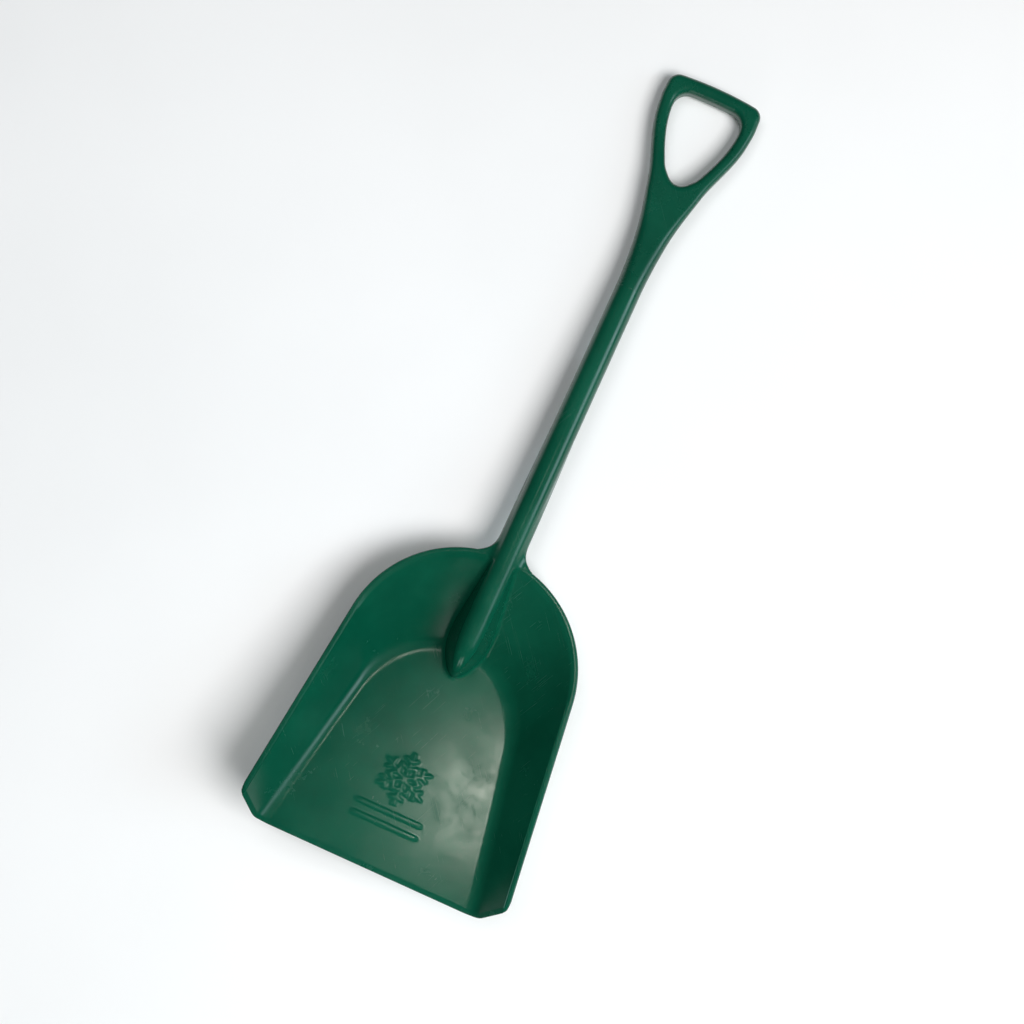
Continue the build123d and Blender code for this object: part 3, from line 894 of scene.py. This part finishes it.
def green_plastic(name, shade, roughness, scratch, grain):
    """Glossy moulded polypropylene: cloudy flow, fine grain, scratches, pale worn edges, and painted shade
    darkening the valleys.
    """
    nodes = Nodes(name)
    flow = nodes.noise(7.0, 4.0, 0.6)
    specks = nodes.noise(240.0, 3.0, 0.6)
    deep = tuple(c * 0.84 for c in shade) + (1.0,)
    light = tuple(c * 1.13 + 0.002 for c in shade) + (1.0,)
    colour = nodes.blend(nodes.between(flow, 0.32, 0.68), deep, light)
    dusty = tuple(0.75 * c + 0.022 for c in shade) + (1.0,)
    colour = nodes.blend(nodes.between(specks, 0.56, 0.78, 0.0, 0.12), colour, dusty)
    lines = nodes.sums("MAXIMUM", scratches(nodes, 24, 0.02, 1.0), scratches(nodes, -38, 0.03, 4.0))
    lines = nodes.sums("MULTIPLY", lines, scratch)
    pale = tuple(0.7 * c + 0.085 for c in shade) + (1.0,)
    colour = nodes.blend(nodes.sums("MULTIPLY", lines, 0.2), colour, pale)
    broken = nodes.between(nodes.noise(75.0, 4.0, 0.7), 0.42, 0.66)
    worn = nodes.sums("MULTIPLY", nodes.between(nodes.attribute("ridge"), 0.25, 0.95), broken)
    colour = nodes.blend(nodes.sums("MULTIPLY", worn, 0.4), colour, pale)
    # painted shade: concave creases and valleys are darkened towards half the plastic's colour
    crease_shade = nodes.between(nodes.attribute("valley"), 0.15, 0.9, 0.0, 0.35)
    colour = nodes.blend(crease_shade, colour, tuple(c * 0.5 for c in shade) + (1.0,))
    nodes.link(colour, nodes.shader.inputs["Base Color"])

    haze = nodes.between(nodes.noise(22.0, 5.0, 0.65), 0.3, 0.7, roughness - 0.05, roughness + 0.06)
    haze = nodes.sums("ADD", haze, nodes.sums("MULTIPLY", worn, 0.12))
    haze = nodes.sums("ADD", haze, nodes.sums("MULTIPLY", lines, 0.15))
    nodes.link(haze, nodes.shader.inputs["Roughness"])
    nodes.shader.inputs["IOR"].default_value = 1.5

    ripple = nodes.sums("MULTIPLY", nodes.noise(26.0, 2.0, 0.5), 0.45)
    pores = nodes.sums("MULTIPLY", nodes.noise(1500.0, 2.0, 0.6), grain)
    height = nodes.sums("ADD", ripple, pores)
    height = nodes.sums("SUBTRACT", height, nodes.sums("MULTIPLY", lines, 0.06))
    bump = nodes.put("ShaderNodeBump", (("Height", height), ("Strength", 0.35), ("Distance", 0.0006)))
    nodes.link(bump.outputs[0], nodes.shader.inputs["Normal"])
    return nodes.material


def pale_floor(name):
    """A matt near-white studio floor."""
    nodes = Nodes(name)
    cloud = nodes.between(nodes.noise(1.5, 3.0), 0.3, 0.7)
    colour = nodes.blend(cloud, (0.86, 0.86, 0.86, 1), (0.9, 0.9, 0.9, 1))
    nodes.link(colour, nodes.shader.inputs["Base Color"])
    nodes.shader.inputs["Roughness"].default_value = 0.9
    nodes.shader.inputs["Specular IOR Level"].default_value = 0.1
    return nodes.material


def dress(piece, material, node, slot):
    """Gives a piece its material, and ties it to its CAD node and body."""
    mark_edges(piece)
    piece.data.materials.clear()
    piece.data.materials.append(material)
    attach(piece, "root")
    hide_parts(node)


def make_scoop():
    """Every piece of the scoop, with its material."""
    points, faces = make_pan()
    pieces = ((pan_piece(points, faces), "scoop_pan", "pan_plastic", 0.22, 0.4, 0.06),
              (shaft_piece(points, faces), "shaft", "shaft_plastic", 0.2, 0.3, 0.05),
              (grip_piece(), "d_grip", "grip_plastic", 0.26, 0.4, 0.07),
              (plug_piece(), "gas_port_plug", "plug_plastic", 0.3, 0.1, 0.05))
    for piece, node, slot, roughness, scratch, grain in pieces:
        shade = PLUG_GREEN if node == "gas_port_plug" else GREEN
        dress(piece, green_plastic(slot, shade, roughness, scratch, grain), node, slot)


# ---- studio --------------------------------------------------------------------------------------
def make_camera():
    """The camera, straight over the scoop, turned so that the scoop lies askew."""
    camera = bpy.data.objects.new("camera", bpy.data.cameras.new("camera"))
    camera.data.lens, camera.data.sensor_width = CAMERA_LENS, 36.0
    camera.location, camera.rotation_euler = CAMERA_AT, (0, 0, radians(CAMERA_TURN))
    bpy.context.scene.collection.objects.link(camera)
    bpy.context.scene.camera = camera


def make_floor():
    """A pale floor, wide enough for every view."""
    mesh = bpy.data.meshes.new("studio_floor")
    half = 6.0
    mesh.from_pydata([(-half, -half, FLOOR_Z), (half, -half, FLOOR_Z), (half, half, FLOOR_Z),
                      (-half, half, FLOOR_Z)], [], [(0, 1, 2, 3)])
    floor = bpy.data.objects.new("studio_floor", mesh)
    mesh.materials.append(pale_floor("floor_paint"))
    bpy.context.scene.collection.objects.link(floor)
    floor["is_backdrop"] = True


def make_light(name, at, aim, size, power, colour, glints, spread):
    """A soft rectangular light that faces a point."""
    light = bpy.data.lights.new(name, "AREA")
    light.shape, light.size, light.size_y = "RECTANGLE", size[0], size[1]
    light.energy, light.color, light.spread = power, colour, radians(spread)
    lamp = bpy.data.objects.new(name, light)
    lamp.location, lamp.visible_glossy = at, glints
    lamp.rotation_euler = (Vector(at) - Vector(aim)).to_track_quat("Z", "Y").to_euler()
    bpy.context.scene.collection.objects.link(lamp)


def make_world():
    """An even pale surround."""
    world = bpy.data.worlds.new("surround")
    world.use_nodes = True
    world.node_tree.nodes["Background"].inputs[0].default_value = (0.9, 0.95, 1.0, 1.0)
    world.node_tree.nodes["Background"].inputs[1].default_value = WORLD_STRENGTH
    bpy.context.scene.world = world


bpy.context.scene.view_settings.view_transform = "Standard"
make_scoop()
make_camera()
make_floor()
make_world()
for lamp in LAMPS:
    make_light(*lamp)

[[list(corner) for corner in box] for box in (cad_box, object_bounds())]
